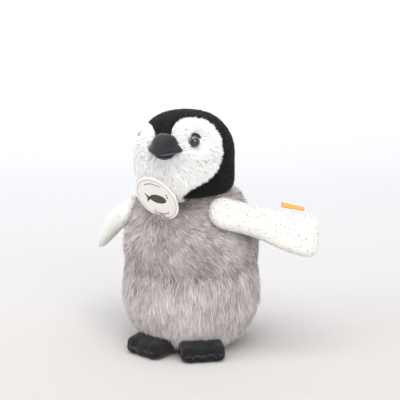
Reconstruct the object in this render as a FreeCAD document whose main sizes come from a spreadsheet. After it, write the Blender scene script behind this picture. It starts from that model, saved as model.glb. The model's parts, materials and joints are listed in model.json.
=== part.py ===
"""A stuffed penguin chick: grey body, black hood, white face and wings, felt beak, velour feet.

Frame: millimetres, +Z up, the front faces -Y and the penguin's left is +X.
The origin is on the floor, under the middle of the body.
"""
import FreeCAD, Part
import math
import os
import Sketcher

SIZES = {
    # cloth, thread and the room left between pieces that move past each other
    "cloth": 1.4,
    "move_gap": 0.4,
    "thread_radius": 0.5,
    # body: a flat base, a belly that swells to its full radius, straight sides, round shoulders
    "body_radius": 40,
    "base_radius": 17,
    "belly_height": 38,
    "shoulder_height": 66,
    "front_panel_angle": 130,
    "pouch_radius": 19,
    "pouch_height": 22,
    "pouch_clearance": 3,
    # neck: a wad of filling between the shoulders and the head
    "neck_radius": 12,
    "neck_thickness": 3.8,
    # head: straight sides between a rounded rim and a rounded crown, sunk a little over the shoulders
    "head_radius": 30,
    "head_forward": 6.5,
    "head_sink": 1.5,
    "head_tall": 49,
    "head_bottom": "=shoulder_height + body_radius - head_sink",
    "head_top": "=head_bottom + head_tall",
    "rim_round": 6,
    "crown_round": 24,
    "gusset_width": 12,
    "face_width": 44,
    "face_tall": 56,
    "face_turn": 33,
    "face_rise": 17.5,
    "face_middle": "=head_bottom + face_rise",
    "chin_width": 28,
    # beak
    "beak_width": 19,
    "beak_tall": 16,
    "beak_reach": 10,
    "beak_rise": 31.5,
    "mouth_rise": 28,
    "beak_height": "=head_bottom + beak_rise",
    "mouth_height": "=head_bottom + mouth_rise",
    "beak_skin": 1.2,
    "beak_side": 3,
    # eyes
    "eye_radius": 3.4,
    "eye_bulge": 2.6,
    "eye_turn": 41,
    "eye_rise": 35,
    "eye_height": "=head_bottom + eye_rise",
    "eye_seat": 0.9,
    "eye_shank_radius": 1.1,
    "eye_shank_length": 8,
    "washer_radius": 5,
    "washer_thickness": 1.2,
    "washer_setback": 3.6,
    # wings: paddles sewn to the shoulders along their root
    "wing_length": 74,
    "wing_root_width": 22,
    "wing_tip_width": 32,
    "wing_thickness": 9,
    "wing_root_round": 10,
    "wing_tip_round": 9,
    "wing_edge_round": 3.6,
    "wing_gap": 1.8,
    "edge_round_share": 0.45,
    "wing_overhang": 4.5,
    "wing_turn": 56,
    "wing_rise_left": 38,
    "wing_rise_right": 30,
    "wing_slant_left": 19.5,
    "wing_slant_right": 25,
    "tab_length": 16,
    "tab_stand": 1.7,
    "tab_thickness": 0.8,
    # feet: wedges with a flat sole
    "foot_width": 28,
    "foot_reach": 47,
    "foot_heel": 30.5,
    "foot_instep_reach": 33,
    "foot_instep_height": 14.5,
    "foot_toe_height": 9,
    "foot_corner_round": 6,
    "foot_edge_round": 1.6,
    "feet_turn": 14,
    "foot_clearance": 0.88,
    "foot_splay": "=atan((foot_width / 2 + foot_clearance) / foot_heel) / 1 deg",
    "toe_stitch_spacing": 10,
    # card tag on the chest
    "tag_radius": 16,
    "tag_thickness": 0.8,
    "tag_hole_radius": 1.5,
    "tag_hole_edge": 2.2,
    "tag_loop_radius": 1.7,
    "tag_loop_thread": 0.3,
    "tag_stand_off": 4.64,
    "tag_rise": 36.25,
    "tag_hinge_side": 1,
    "tag_hinge_forward": "=(body_radius + tag_stand_off) * cos(tag_rise)",
    "tag_hinge_height": "=shoulder_height + (body_radius + tag_stand_off) * sin(tag_rise)",
    "tag_lean": 28,
    "tag_turn": 8,
}

SIDES = {"left": 1, "right": -1}

doc = FreeCAD.newDocument("penguin")
sheet = doc.addObject("Spreadsheet::Sheet", "Sizes")
for row, (alias, value) in enumerate(SIZES.items(), start=1):
    sheet.set(f"A{row}", alias)
    sheet.set(f"B{row}", str(value))
    sheet.setAlias(f"B{row}", alias)
doc.recompute()


# --- helpers ---------------------------------------------------------------------------------

def size(alias):
    """The sheet's value, as a number."""
    return float(sheet.get(alias))


def cells(text):
    """An expression written with bare size names, as the sheet wants it."""
    for alias in sorted(SIZES, key=len, reverse=True):
        text = text.replace(f"<{alias}>", f"Sizes.{alias}")
    return text


def primitive(kind, name, place=None, **dimensions):
    """A Part primitive with each dimension, and its placement, bound to the sheet."""
    piece = doc.addObject(f"Part::{kind}", name)
    for prop, text in dimensions.items():
        piece.setExpression(prop, cells(str(text)))
    if place:
        piece.setExpression("Placement", cells(place))
    return piece


def at(x, y, z, axis="0; 0; 1", angle="0"):
    """The text of a placement: a position and one turn about an axis."""
    return f"placement(vector({x}; {y}; {z}); rotation(vector({axis}); {angle}))"


def combine(kind, name, base, tool, place=None):
    """A Part::Cut or Part::Common of two objects."""
    piece = doc.addObject(f"Part::{kind}", name)
    piece.Base = base
    piece.Tool = tool
    if place:
        piece.setExpression("Placement", cells(place))
    return piece


def join(name, pieces):
    fused = doc.addObject("Part::MultiFuse", name)
    fused.Shapes = pieces
    return fused


def new_sketch(body, plane):
    sketch = body.newObject("Sketcher::SketchObject", f"{body.Name}Sketch")
    role = [p for p in body.Origin.OriginFeatures if p.Role == plane][0]
    sketch.AttachmentSupport = [(role, "")]
    sketch.MapMode = "FlatFace"
    return sketch


def dimension(sketch, kind, name, references, text, value):
    """One named sketch dimension, bound to the sheet."""
    index = sketch.addConstraint(Sketcher.Constraint(kind, *references, value))
    sketch.renameConstraint(index, name)
    sketch.setExpression(f"Constraints.{name}", cells(text))


def closed_outline(sketch, points):
    """Straight lines from point to point and back to the first."""
    count = len(points)
    for i in range(count):
        start = FreeCAD.Vector(*points[i], 0)
        end = FreeCAD.Vector(*points[(i + 1) % count], 0)
        sketch.addGeometry(Part.LineSegment(start, end))
    for i in range(count):
        sketch.addConstraint(Sketcher.Constraint("Coincident", i, 2, (i + 1) % count, 1))


def round_edges(body, name, base, keep, radius):
    """A fillet on the edges of the body that keep() chooses."""
    doc.recompute()
    edges = [f"Edge{i + 1}" for i, edge in enumerate(base.Shape.Edges) if keep(edge)]
    fillet = body.newObject("PartDesign::Fillet", name)
    fillet.Base = (base, edges)
    fillet.setExpression("Radius", cells(radius))
    body.Tip = fillet
    return fillet


def half_space(name, place):
    """A block larger than the toy, standing on the local XY plane."""
    reach = "4 * <head_top>"
    piece = primitive("Box", name, Length=reach, Width=reach, Height=reach)
    piece.setExpression("Placement", cells(place))
    return piece


# --- body ------------------------------------------------------------------------------------

def body_form(name, inset):
    """The lathe-turned shape of the stuffed body, drawn in by inset all round."""
    body = doc.addObject("PartDesign::Body", name)
    sketch = new_sketch(body, "XZ_Plane")
    shrink = inset_value(inset)
    radius = size("body_radius") - shrink
    base = size("base_radius") - shrink
    belly = size("belly_height")
    shoulder = size("shoulder_height")
    swell = radius - base
    rise = belly - shrink
    arc_radius = (swell ** 2 + rise ** 2) / (2 * swell)
    belly_centre = FreeCAD.Vector(radius - arc_radius, belly, 0)
    base_direction = FreeCAD.Vector(base, shrink, 0) - belly_centre
    base_angle = -base_direction.getAngle(FreeCAD.Vector(1, 0, 0))
    normal = FreeCAD.Vector(0, 0, 1)
    belly_circle = Part.Circle(belly_centre, normal, arc_radius)
    shoulder_circle = Part.Circle(FreeCAD.Vector(0, shoulder, 0), normal, radius)
    sketch.addGeometry(Part.LineSegment(FreeCAD.Vector(0, shrink, 0), FreeCAD.Vector(base, shrink, 0)))
    sketch.addGeometry(Part.ArcOfCircle(belly_circle, base_angle, 0))
    sketch.addGeometry(Part.LineSegment(FreeCAD.Vector(radius, belly, 0), FreeCAD.Vector(radius, shoulder, 0)))
    sketch.addGeometry(Part.ArcOfCircle(shoulder_circle, 0, math.pi / 2))
    sketch.addGeometry(Part.LineSegment(FreeCAD.Vector(0, shoulder + radius, 0), FreeCAD.Vector(0, shrink, 0)))
    for first, second in ((0, 1), (1, 2), (2, 3), (3, 4), (4, 0)):
        sketch.addConstraint(Sketcher.Constraint("Coincident", first, 2, second, 1))
    sketch.addConstraint(Sketcher.Constraint("Horizontal", 0))
    sketch.addConstraint(Sketcher.Constraint("Vertical", 2))
    sketch.addConstraint(Sketcher.Constraint("PointOnObject", 0, 1, -2))
    sketch.addConstraint(Sketcher.Constraint("PointOnObject", 3, 2, -2))
    sketch.addConstraint(Sketcher.Constraint("PointOnObject", 3, 3, -2))
    dimension(sketch, "DistanceY", "floor", (-1, 1, 0, 1), inset, shrink)
    dimension(sketch, "DistanceX", "base_radius", (0, 1, 0, 2), f"<base_radius> - ({inset})", base)
    dimension(sketch, "DistanceX", "side_radius", (-1, 1, 2, 1), f"<body_radius> - ({inset})", radius)
    dimension(sketch, "DistanceY", "belly_height", (-1, 1, 2, 1), "<belly_height>", belly)
    dimension(sketch, "DistanceY", "belly_centre", (-1, 1, 1, 3), "<belly_height>", belly)
    dimension(sketch, "DistanceY", "shoulder_height", (-1, 1, 2, 2), "<shoulder_height>", shoulder)
    dimension(sketch, "DistanceY", "shoulder_centre", (-1, 1, 3, 3), "<shoulder_height>", shoulder)
    turned = body.newObject("PartDesign::Revolution", f"{name}Turned")
    turned.Profile = sketch
    turned.ReferenceAxis = (sketch, ["V_Axis"])
    turned.Angle = 360
    body.Tip = turned
    return body


def inset_value(inset):
    """The inset as a number: a size's name in brackets, with or without a minus, or a zero."""
    name = inset.strip("-<>")
    if name not in SIZES:
        return 0.0
    return -size(name) if inset.startswith("-") else size(name)


def sector(name, start, span):
    """A wedge of a tall cylinder about the body's axis, from an angle measured from +X."""
    reach = "4 * <body_radius>"
    return primitive("Cylinder", name, at(0, 0, "-<head_top>", angle=start),
                     Radius=reach, Height="4 * <head_top>", Angle=span)


def build_body():
    outer = body_form("BodyForm", "0")
    inner = body_form("BodyLining", "<cloth>")
    skin = combine("Cut", "BodySkin", outer, inner)
    above_base = half_space("AboveBase", at("-2 * <head_top>", "-2 * <head_top>", "<cloth>"))
    sides = combine("Common", "BodySides", skin, above_base)
    base = combine("Cut", "body_base_panel", skin, above_base)
    half = "<front_panel_angle> / 2"
    rest = "(360 - <front_panel_angle>) / 2"
    wedges = {
        "body_front_panel": (f"-90 - {half}", "<front_panel_angle>"),
        "body_back_left_panel": (f"-90 + {half}", rest),
        "body_back_right_panel": ("90", rest),
    }
    panels = [base]
    for name, (start, span) in wedges.items():
        wedge = sector(f"{name}_wedge", start, span)
        panels.append(combine("Common", name, sides, wedge))

    middle = "<cloth> + <pouch_clearance> + <pouch_height> / 2"
    pouch_outer = primitive("Ellipsoid", "PouchOuter", at(0, 0, middle), Radius1="<pouch_height> / 2",
                            Radius2="<pouch_radius>", Radius3="<pouch_radius>")
    pellets = primitive("Ellipsoid", "pellets", at(0, 0, middle), Radius1="<pouch_height> / 2 - <cloth>",
                        Radius2="<pouch_radius> - <cloth>", Radius3="<pouch_radius> - <cloth>")
    pouch = combine("Cut", "pellet_pouch", pouch_outer, pellets)
    stuffing = combine("Cut", "body_stuffing", inner, pouch_outer)
    return outer, panels + [pouch, pellets, stuffing]


# --- neck and head ---------------------------------------------------------------------------

def shoulder_ball(name, radius):
    """A ball about the neck's bending point, which the shoulders and the head's hollow share."""
    return primitive("Sphere", name, at(0, 0, "<shoulder_height>"), Radius=radius)


def build_neck():
    wad_outer = shoulder_ball("NeckBallOuter", "<body_radius> + <move_gap> + <neck_thickness>")
    wad_inner = shoulder_ball("NeckBallInner", "<body_radius> + <move_gap>")
    shell = combine("Cut", "NeckShell", wad_outer, wad_inner)
    core = primitive("Cylinder", "NeckCore", at(0, 0, "<shoulder_height>"),
                     Radius="<neck_radius>", Height="2 * <body_radius>")
    wad = combine("Common", "neck_stuffing", shell, core)
    ring_radius = "<neck_radius> + <thread_radius> + <move_gap> / 2"
    ring_reach = "<body_radius> + 1.5 * <move_gap> + <thread_radius>"
    ring_height = f"<shoulder_height> + sqrt(({ring_reach})^2 - ({ring_radius})^2)"
    thread = primitive("Torus", "neck_seam_thread", at(0, 0, ring_height),
                       Radius1=ring_radius, Radius2="<thread_radius>")
    return [wad, thread]


def head_form(name, inset):
    """The head's cylinder with its rounded rim and crown, drawn in by inset all round."""
    shrink = inset_value(inset)
    body = doc.addObject("PartDesign::Body", name)
    body.setExpression("Placement", cells(at(0, "-<head_forward>", f"<head_bottom> + {inset}")))
    sketch = new_sketch(body, "XY_Plane")
    radius = size("head_radius") - shrink
    circle = Part.Circle(FreeCAD.Vector(0, 0, 0), FreeCAD.Vector(0, 0, 1), radius)
    sketch.addGeometry(circle)
    sketch.addConstraint(Sketcher.Constraint("Coincident", 0, 3, -1, 1))
    dimension(sketch, "Radius", "head_radius", (0,), f"<head_radius> - ({inset})", radius)
    sides = body.newObject("PartDesign::Pad", f"{name}Sides")
    sides.Profile = sketch
    sides.setExpression("Length", cells(f"<head_top> - <head_bottom> - 2 * ({inset})"))
    body.Tip = sides
    doc.recompute()
    floor = sides.Shape.BoundBox.ZMin
    roof = sides.Shape.BoundBox.ZMax
    rim = round_edges(body, f"{name}Rim", sides,
                      lambda e: e.BoundBox.ZMax < floor + 0.01, f"<rim_round> - ({inset})")
    round_edges(body, f"{name}Crown", rim,
                lambda e: e.BoundBox.ZMin > roof - 0.01, f"<crown_round> - ({inset})")
    return body


def eye_place(side, setback):
    """Local +Z points out of the face at the eye, setback millimetres inside the cloth."""
    turn = f"{side} * <eye_turn>"
    reach = f"(<head_radius> - {setback})"
    x = f"{reach} * sin({turn})"
    y = f"-<head_forward> - {reach} * cos({turn})"
    turned = f"rotation(vector(0; 0; 1); {turn}) * rotation(vector(1; 0; 0); 90)"
    return f"placement(vector({x}; {y}; <eye_height>); {turned})"


def build_eye(word, side):
    """A plastic eye with its shank, the washer that locks it, and the space they take."""
    place = eye_place(side, "<eye_seat>")
    dome = primitive("Ellipsoid", f"EyeDome{word}", place, Radius1="<eye_bulge>",
                     Radius2="<eye_radius>", Radius3="<eye_radius>", Angle1=0)
    shank = primitive("Cylinder", f"EyeShank{word}", eye_place(side, "<eye_shank_length>"),
                      Radius="<eye_shank_radius>", Height="<eye_shank_length> - <eye_seat>")
    eye = join(f"eye_{word}", [dome, shank])
    disc = primitive("Cylinder", f"WasherDisc{word}", eye_place(side, "<washer_setback>"),
                     Radius="<washer_radius>", Height="<washer_thickness>")
    washer = combine("Cut", f"eye_washer_{word}", disc, shank)
    room = join(f"EyeRoom{word}", [dome, shank, disc])
    return [eye, washer], room


def build_beak(head_outer):
    """Upper and lower felt halves that meet at the mouth, over a small wad of filling."""
    reach = "<head_radius> + <head_forward> - <beak_skin> / 2"
    place = at("<beak_side>", f"-({reach})", "<beak_height>", angle="90")
    form = primitive("Ellipsoid", "BeakForm", place, Radius1="<beak_tall> / 2",
                     Radius2="<beak_reach>", Radius3="<beak_width> / 2")
    core = primitive("Ellipsoid", "BeakCore", place, Radius1="<beak_tall> / 2 - <beak_skin>",
                     Radius2="<beak_reach> - <beak_skin>", Radius3="<beak_width> / 2 - <beak_skin>")
    above_mouth = half_space("AboveMouth", at("-2 * <head_top>", "-2 * <head_top>", "<mouth_height>"))
    proud = combine("Cut", "BeakProud", form, head_outer)
    skin = combine("Cut", "BeakSkin", proud, core)
    upper = combine("Common", "beak_upper", skin, above_mouth)
    lower = combine("Cut", "beak_lower", skin, above_mouth)
    filling = combine("Common", "beak_stuffing", core, proud)
    return [upper, lower, filling]


def build_head():
    outer = head_form("HeadForm", "0")
    lining = head_form("HeadLining", "<cloth>")
    hollow = shoulder_ball("HeadHollow", "<body_radius> + 2 * <move_gap>")
    pocket_core = primitive("Cylinder", "NeckPocketCore", at(0, 0, "<shoulder_height>"),
                            Radius="<neck_radius> + 2 * <thread_radius> + 2 * <move_gap>",
                            Height="2 * <body_radius>")
    pocket_ball = shoulder_ball("NeckPocketBall", "<body_radius> + 2 * <move_gap> + <neck_thickness>")
    pocket = combine("Common", "NeckPocket", pocket_core, pocket_ball)
    opening = join("HeadOpening", [hollow, pocket])
    skin_full = combine("Cut", "HeadSkinFull", outer, lining)
    skin_open = combine("Cut", "HeadSkinOpen", skin_full, opening)
    eyes = []
    rooms = []
    for word, side in SIDES.items():
        pieces, room = build_eye(word, side)
        eyes += pieces
        rooms.append(room)
    eye_rooms = join("EyeRooms", rooms)
    skin = combine("Cut", "HeadSkin", skin_open, eye_rooms)

    faces = []
    chin = primitive("Box", "Chin", at("-<chin_width> / 2", "-4 * <body_radius>", 0), Length="<chin_width>",
                     Width="4 * <body_radius> - <head_forward>", Height="<mouth_height>")
    for word, side in SIDES.items():
        turn = f"{side} * <face_turn>"
        x = f"<head_radius> * sin({turn})"
        y = f"-<head_forward> - <head_radius> * cos({turn})"
        oval = primitive("Ellipsoid", f"FaceOval{word}", at(x, y, "<face_middle>"),
                         Radius1="<face_tall> / 2", Radius2="<face_width> / 2", Radius3="<face_width> / 2")
        patch = join(f"FacePatch{word}", [oval, chin])
        start = "-90" if side > 0 else "90"
        half = sector(f"HeadHalf{word}", start, "180")
        faces.append((word, half, patch))
    stripe_place = at("-<gusset_width> / 2", "-4 * <body_radius>", "<mouth_height>")
    stripe_front = primitive("Box", "StripeFront", stripe_place, Length="<gusset_width>",
                             Width="4 * <body_radius>", Height="2 * <head_top>")
    back_place = at("-<gusset_width> / 2", 0, 0)
    stripe_back = primitive("Box", "StripeBack", back_place, Length="<gusset_width>",
                            Width="4 * <body_radius>", Height="2 * <head_top>")
    stripe = join("Stripe", [stripe_front, stripe_back])
    gusset = combine("Common", "hood_gusset", skin, stripe)
    sides = combine("Cut", "HeadSides", skin, stripe)
    panels = [gusset]
    for word, half, patch in faces:
        own_side = combine("Common", f"HeadSide{word}", sides, half)
        panels.append(combine("Common", f"face_{word}_panel", own_side, patch))
        panels.append(combine("Cut", f"hood_{word}_panel", own_side, patch))
    taken = join("HeadTaken", [opening, eye_rooms])
    stuffing = combine("Cut", "head_stuffing", lining, taken)
    return panels + [stuffing] + eyes + build_beak(outer)


# --- wings -----------------------------------------------------------------------------------

def wing_form(name, inset):
    """A paddle in the XY plane: +X runs to the tip, the seam to the shoulder is at the origin."""
    shrink = inset_value(inset)
    body = doc.addObject("PartDesign::Body", name)
    sketch = new_sketch(body, "XY_Plane")
    back = size("wing_overhang") - shrink
    tip = size("wing_length") - size("wing_overhang") - shrink
    root_half = size("wing_root_width") / 2 - shrink
    tip_half = size("wing_tip_width") / 2 - shrink
    closed_outline(sketch, [(-back, -root_half), (tip, -tip_half), (tip, tip_half), (-back, root_half)])
    sketch.addConstraint(Sketcher.Constraint("Symmetric", 0, 2, 1, 2, -1))
    sketch.addConstraint(Sketcher.Constraint("Symmetric", 0, 1, 3, 1, -1))
    dimension(sketch, "DistanceX", "overhang", (0, 1, -1, 1), f"<wing_overhang> - ({inset})", back)
    dimension(sketch, "DistanceX", "reach", (-1, 1, 0, 2),
              f"<wing_length> - <wing_overhang> - ({inset})", tip)
    dimension(sketch, "DistanceY", "tip_half", (-1, 1, 1, 2), f"<wing_tip_width> / 2 - ({inset})", tip_half)
    dimension(sketch, "DistanceY", "root_half", (-1, 1, 2, 2), f"<wing_root_width> / 2 - ({inset})", root_half)
    slab = body.newObject("PartDesign::Pad", f"{name}Slab")
    slab.Profile = sketch
    slab.Midplane = True
    slab.setExpression("Length", cells(f"<wing_thickness> - 2 * ({inset})"))
    body.Tip = slab
    doc.recompute()

    height = slab.Shape.BoundBox.ZLength

    def corner_at(end):
        return lambda e: e.BoundBox.ZLength > height - 0.01 and abs(e.BoundBox.Center.x - end) < 0.01

    root = round_edges(body, f"{name}Root", slab, corner_at(-back), f"<wing_root_round> - ({inset})")
    ends = round_edges(body, f"{name}Tip", root, corner_at(tip), f"<wing_tip_round> - ({inset})")
    round_edges(body, f"{name}Edge", ends, lambda e: e.BoundBox.ZLength < 0.01,
                f"min(<wing_edge_round>; <wing_thickness> * <edge_round_share>) - ({inset})")
    return body


def wing_place(word, side):
    """Local +Y lies along the shoulder seam and local Z stands on the shoulder's surface."""
    rise = f"<wing_rise_{word}>"
    reach = "(<body_radius> + <wing_gap> + <wing_thickness> / 2)"
    x = f"{side} * {reach} * cos({rise}) * sin(<wing_turn>)"
    y = f"-{reach} * cos({rise}) * cos(<wing_turn>)"
    z = f"<shoulder_height> + {reach} * sin({rise})"
    about = f"rotation(vector(0; 0; 1); {side} * <wing_turn>)"
    lean = f"rotation(vector(1; 0; 0); 90 - {rise})"
    flip = "rotation(vector(0; 0; 1); 0)" if side > 0 else "rotation(vector(0; 1; 0); 180)"
    droop = f"rotation(vector(0; 0; 1); -<wing_slant_{word}>)"
    return f"placement(vector({x}; {y}; {z}); {about} * {lean} * {flip} * {droop})"


def build_wing(word, side):
    place = wing_place(word, side)
    outer = wing_form(f"WingForm{word}", "0")
    inner = wing_form(f"WingLining{word}", "<cloth>")
    skin = combine("Cut", f"WingSkin{word}", outer, inner)
    facing_out = half_space(f"WingFaceOut{word}", at("-2 * <head_top>", "-2 * <head_top>", 0))
    outward = "Common" if side > 0 else "Cut"
    inward = "Cut" if side > 0 else "Common"
    pieces = [
        combine(outward, f"{word}_wing_front_panel", skin, facing_out, place),
        combine(inward, f"{word}_wing_back_panel", skin, facing_out, place),
        combine("Common", f"{word}_wing_stuffing", inner, outer, place),
    ]
    if word == "left":
        edge = "(<wing_root_width> / 2 + <wing_tip_width> / 2) / 2 + <tab_stand> / 2"
        local = f"vector(<wing_length> - <wing_overhang> - <wing_tip_round> - <tab_length>; {edge}; "
        block = primitive("Box", "TabBlock", f"placement({local}-<tab_thickness> / 2); rotation(0; 0; 0))",
                          Length="<tab_length>", Width="2 * <tab_stand>", Height="<tab_thickness>")
        pieces.append(combine("Cut", "wing_tab", block, outer, place))
    return pieces


# --- feet ------------------------------------------------------------------------------------

def foot_form(name, inset):
    """A wedge with its sole on the floor, its toes towards -Y and its instep under the belly."""
    shrink = inset_value(inset)
    body = doc.addObject("PartDesign::Body", name)
    sketch = new_sketch(body, "YZ_Plane")
    toe = size("foot_reach") - shrink
    heel = size("foot_heel")
    instep = size("foot_instep_reach")
    toe_top = size("foot_toe_height") - shrink
    instep_top = size("foot_instep_height") - shrink
    closed_outline(sketch, [(-toe, shrink), (-heel, shrink), (-heel, instep_top),
                            (-instep, instep_top), (-toe, toe_top)])
    sketch.addConstraint(Sketcher.Constraint("Horizontal", 0))
    sketch.addConstraint(Sketcher.Constraint("Vertical", 1))
    sketch.addConstraint(Sketcher.Constraint("Horizontal", 2))
    sketch.addConstraint(Sketcher.Constraint("Vertical", 4))
    dimension(sketch, "DistanceX", "toe", (0, 1, -1, 1), f"<foot_reach> - ({inset})", toe)
    dimension(sketch, "DistanceY", "sole", (-1, 1, 0, 1), inset, shrink)
    dimension(sketch, "DistanceX", "heel", (0, 2, -1, 1), "<foot_heel>", heel)
    dimension(sketch, "DistanceX", "instep", (2, 2, -1, 1), "<foot_instep_reach>", instep)
    dimension(sketch, "DistanceY", "instep_top", (-1, 1, 2, 2), f"<foot_instep_height> - ({inset})",
              instep_top)
    dimension(sketch, "DistanceY", "toe_top", (-1, 1, 3, 2), f"<foot_toe_height> - ({inset})", toe_top)
    wedge = body.newObject("PartDesign::Pad", f"{name}Wedge")
    wedge.Profile = sketch
    wedge.Midplane = True
    wedge.setExpression("Length", cells(f"<foot_width> - 2 * ({inset})"))
    body.Tip = wedge
    doc.recompute()
    corners = round_edges(body, f"{name}Corners", wedge,
                          lambda e: abs(e.BoundBox.Center.y + toe) < 0.01 and e.BoundBox.XLength < 0.01,
                          f"<foot_corner_round> - ({inset})")
    round_edges(body, f"{name}Toes", corners,
                lambda e: e.BoundBox.YMin < -toe + 0.01 and e.BoundBox.ZMin > toe_top - 0.01
                and e.BoundBox.ZLength < 0.01, "<foot_edge_round>")
    return body


def build_foot(word, side, body_room):
    """A velour upper, a flat sole, the filling and the two threads that pinch the toes."""
    turn = at(0, 0, 0, angle=f"<feet_turn> + {side} * <foot_splay>")
    outer = foot_form(f"FootForm{word}", "0")
    inner = foot_form(f"FootLining{word}", "<cloth>")
    skin = combine("Cut", f"FootSkin{word}", outer, inner)
    above_sole = half_space(f"AboveSole{word}", at("-2 * <head_top>", "-2 * <head_top>", "<cloth>"))
    skin_clear = combine("Cut", f"FootSkinClear{word}", skin, body_room)
    threads = []
    for number, step in enumerate((-0.5, 0.5)):
        place = at(f"{step} * <toe_stitch_spacing>", "-<foot_reach> - <thread_radius>", "<cloth>")
        threads.append(primitive("Cylinder", f"ToeThread{word}{number}", place,
                                 Radius="<thread_radius>", Height="<foot_toe_height> - 2 * <cloth>"))
    both = join(f"ToeThreads{word}", threads)
    return [
        combine("Common", f"{word}_foot_upper", skin_clear, above_sole, turn),
        combine("Cut", f"{word}_foot_sole", skin_clear, above_sole, turn),
        combine("Cut", f"{word}_foot_stuffing", inner, body_room, turn),
        combine("Cut", f"{word}_toe_stitches", both, outer, turn),
    ]


# --- tag -------------------------------------------------------------------------------------

def tag_place():
    """Local +Y runs from the tag's hole across the card and local +Z is its printed face."""
    hinge = "vector(<tag_hinge_side>; -<tag_hinge_forward>; <tag_hinge_height>)"
    about = "rotation(vector(0; 0; 1); -<tag_turn>)"
    lean = "rotation(vector(1; 0; 0); 90 + <tag_lean>)"
    return f"placement({hinge}; {about} * {lean})"


def build_tag():
    middle = "<tag_radius> - <tag_hole_edge> - <tag_hole_radius> / 2"
    disc = primitive("Cylinder", "TagDisc", at(0, middle, "-<tag_thickness> / 2"),
                     Radius="<tag_radius>", Height="<tag_thickness>")
    hole = primitive("Cylinder", "TagHole", at(0, 0, "-<tag_thickness>"),
                     Radius="<tag_hole_radius>", Height="2 * <tag_thickness>")
    card = combine("Cut", "tag_card", disc, hole, tag_place())
    through_hole = "placement(vector(0; -<tag_loop_radius>; 0); rotation(vector(0; 1; 0); 90))"
    loop = primitive("Torus", "tag_thread", f"{tag_place()} * {through_hole}",
                     Radius1="<tag_loop_radius>", Radius2="<tag_loop_thread>")
    return [card, loop]


# --- the whole toy ---------------------------------------------------------------------------

def build():
    body_outer, pieces = build_body()
    pieces += build_neck()
    pieces += build_head()
    body_room = body_form("BodyRoom", "-<move_gap>")
    for word, side in SIDES.items():
        pieces += build_wing(word, side)
        pieces += build_foot(word, side, body_room)
    pieces += build_tag()
    doc.recompute()
    return pieces


def check(pieces):
    for item in doc.Objects:
        if {"Invalid", "Error"} & set(item.State):
            raise RuntimeError(f"{item.Label} is {item.State}")
    for piece in pieces:
        if piece.Shape.isNull() or not piece.Shape.isValid() or not piece.Shape.Solids:
            raise RuntimeError(f"{piece.Label} has no sound solid")


def export(pieces):
    os.makedirs("parts", exist_ok=True)
    for piece in pieces:
        piece.Shape.exportStep(f"parts/{piece.Label}.step")
        print(f"{piece.Label:26s} {len(piece.Shape.Solids)} solid  {piece.Shape.Volume:10.1f} mm3")


toy = build()
check(toy)
export(toy)
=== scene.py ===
import bmesh
import bpy
import json
import math
import numpy as np
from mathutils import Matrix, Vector, kdtree


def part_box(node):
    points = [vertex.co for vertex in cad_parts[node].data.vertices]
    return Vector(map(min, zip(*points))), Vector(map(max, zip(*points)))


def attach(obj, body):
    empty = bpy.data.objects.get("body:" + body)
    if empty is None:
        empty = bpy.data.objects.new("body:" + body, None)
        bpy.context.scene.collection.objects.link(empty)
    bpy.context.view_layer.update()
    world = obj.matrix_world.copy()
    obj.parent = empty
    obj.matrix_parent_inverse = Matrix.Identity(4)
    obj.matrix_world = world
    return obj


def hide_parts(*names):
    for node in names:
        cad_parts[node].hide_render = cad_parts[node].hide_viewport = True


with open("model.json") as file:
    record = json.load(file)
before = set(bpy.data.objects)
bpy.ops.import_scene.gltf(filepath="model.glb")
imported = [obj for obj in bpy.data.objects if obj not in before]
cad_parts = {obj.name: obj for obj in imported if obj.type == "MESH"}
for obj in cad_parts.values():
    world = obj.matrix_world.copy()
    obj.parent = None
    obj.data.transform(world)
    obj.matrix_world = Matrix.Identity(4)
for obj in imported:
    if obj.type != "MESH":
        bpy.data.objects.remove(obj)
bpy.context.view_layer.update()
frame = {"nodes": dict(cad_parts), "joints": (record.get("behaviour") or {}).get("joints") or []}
nodes = frame["nodes"]
MM = 0.001


# ---------------------------------------------------------------- camera
# A long lens a little above the toy and about thirty degrees to its left,
# so that both wings, the far cheek and the near eye all show.
CAMERA_AZIMUTH = math.radians(30)
CAMERA_ELEVATION = math.radians(12)
CAMERA_DISTANCE = 0.748
AIM = Vector((-4.9, 20.1, 91)) * MM

camera_data = bpy.data.cameras.new("camera")
camera_data.lens = 100
camera_data.sensor_width = 36
camera = bpy.data.objects.new("camera", camera_data)
bpy.context.scene.collection.objects.link(camera)
back = Vector((math.sin(CAMERA_AZIMUTH) * math.cos(CAMERA_ELEVATION),
               -math.cos(CAMERA_AZIMUTH) * math.cos(CAMERA_ELEVATION),
               math.sin(CAMERA_ELEVATION)))
camera.location = AIM + back * CAMERA_DISTANCE
camera.rotation_mode = "QUATERNION"
camera.rotation_quaternion = (-back).to_track_quat("-Z", "Y")
bpy.context.scene.camera = camera
bpy.context.scene.view_settings.view_transform = "Standard"


# ---------------------------------------------------------------- floor and light
# A pale sweep of paper that curves up behind the toy, one broad soft light
# overhead, a weaker one from the front left, and an almost white room.

def linear(hex_text):
    """An sRGB hex colour as the four linear numbers that a socket takes."""
    parts = [int(hex_text[i:i + 2], 16) / 255 for i in (1, 3, 5)]
    return [c / 12.92 if c <= 0.04045 else ((c + 0.055) / 1.055) ** 2.4 for c in parts] + [1.0]


def add_node(tree, kind, links=None, **settings):
    """Adds a node, sets its properties or sockets, and links named inputs to other outputs."""
    node = tree.nodes.new(kind)
    for key, value in settings.items():
        name = key.replace("_", " ")
        if name in node.inputs:
            node.inputs[name].default_value = value
        else:
            setattr(node, key, value)
    for name, source in (links or {}).items():
        tree.links.new(source, node.inputs[name])
    return node


def new_material(name):
    """A material with an empty node tree, and the tree."""
    material = bpy.data.materials.new(name)
    material.use_nodes = True
    material.node_tree.nodes.clear()
    return material, material.node_tree


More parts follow.
